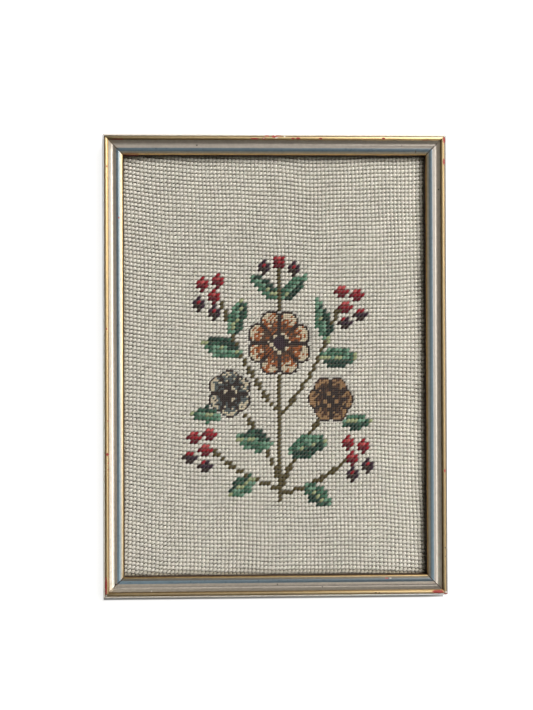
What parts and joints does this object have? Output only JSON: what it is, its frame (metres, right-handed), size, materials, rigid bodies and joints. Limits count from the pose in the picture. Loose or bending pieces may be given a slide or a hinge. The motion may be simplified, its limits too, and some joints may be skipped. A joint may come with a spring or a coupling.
{
  "type": "needlepoint picture in a narrow moulding frame",
  "caption": "Upright needlepoint worked all over in tent stitch, held in the rebate of a narrow mitred gilt, silver and blue moulding with a board behind.",
  "frame": {"origin": "middle of the frame's back, on the surface that it lies on", "axes": "+Z out of the picture, +Y to the picture's top, +X to its right"},
  "size_m": [0.222, 0.2982, 0.0148],
  "materials": {
    "moulding": "gilt bead and sight edge, silvered cove and blue painted ridge over a wooden moulding, rubbed",
    "stitched_wool": "ecru wool tent stitch, matte and slightly fuzzy",
    "board": "plain grey pulp board, matte"
  },
  "bodies": {
    "root": {"rail_top": "moulding", "rail_bottom": "moulding", "rail_left": "moulding", "rail_right": "moulding", "needlepoint": "stitched_wool", "backing_board": "board"}
  },
  "joints": []
}
